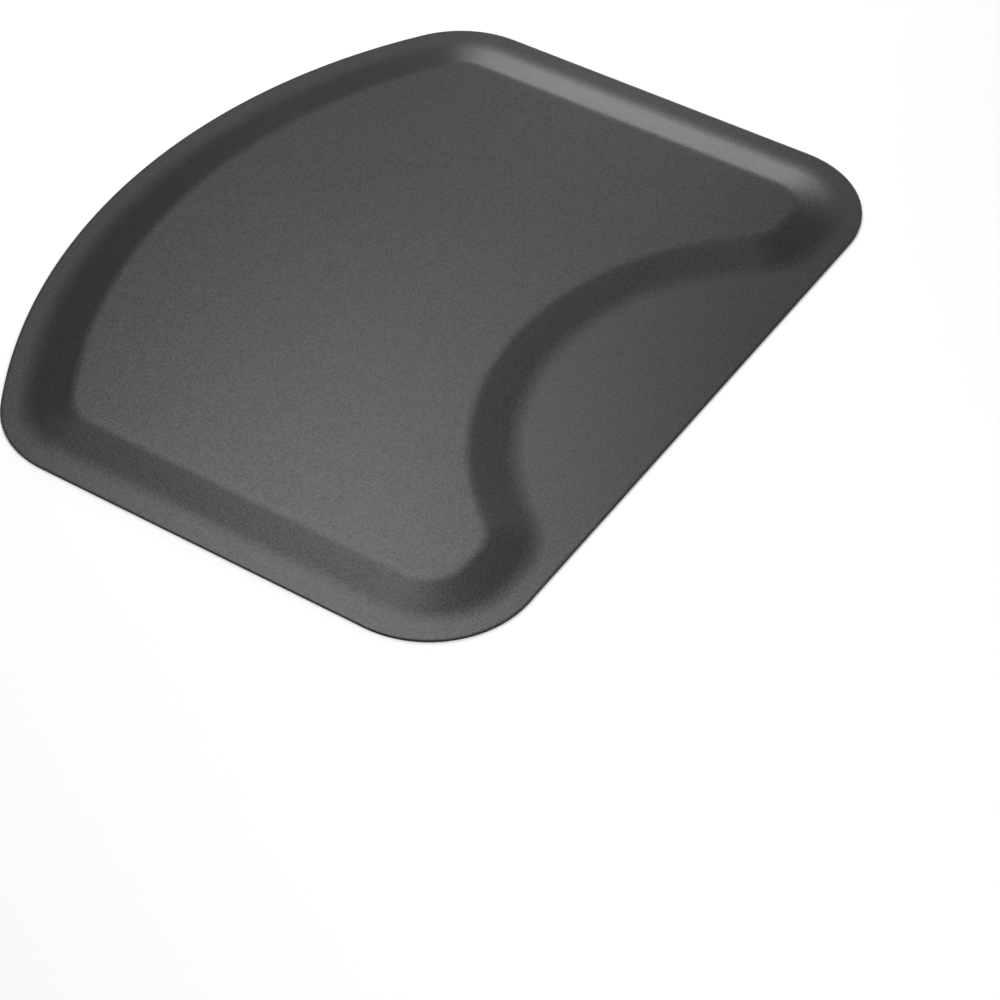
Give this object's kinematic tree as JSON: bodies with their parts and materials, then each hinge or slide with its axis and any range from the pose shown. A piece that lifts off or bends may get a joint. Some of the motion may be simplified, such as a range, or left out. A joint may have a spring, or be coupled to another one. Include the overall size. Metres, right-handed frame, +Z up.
{
  "type": "anti fatigue mat",
  "caption": "Cushioned standing mat with a leather-grained skin, bowed back edge, ramped borders and a shallow half-round chair recess in its straight front edge.",
  "frame": {"origin": "on the floor, under the middle of the mat", "axes": "+X along the straight front edge, +Y from the front edge towards the bowed back edge, +Z up"},
  "size_m": [1.016, 0.8459, 0.0127],
  "materials": {
    "skin": "satin leather grain",
    "soft_foam": "matt foam",
    "firm_foam": "matt foam",
    "backing": "matt rubber"
  },
  "bodies": {
    "root": {"cover_skin": "skin", "comfort_foam": "soft_foam", "support_foam": "firm_foam", "base_sheet": "backing"}
  },
  "joints": []
}
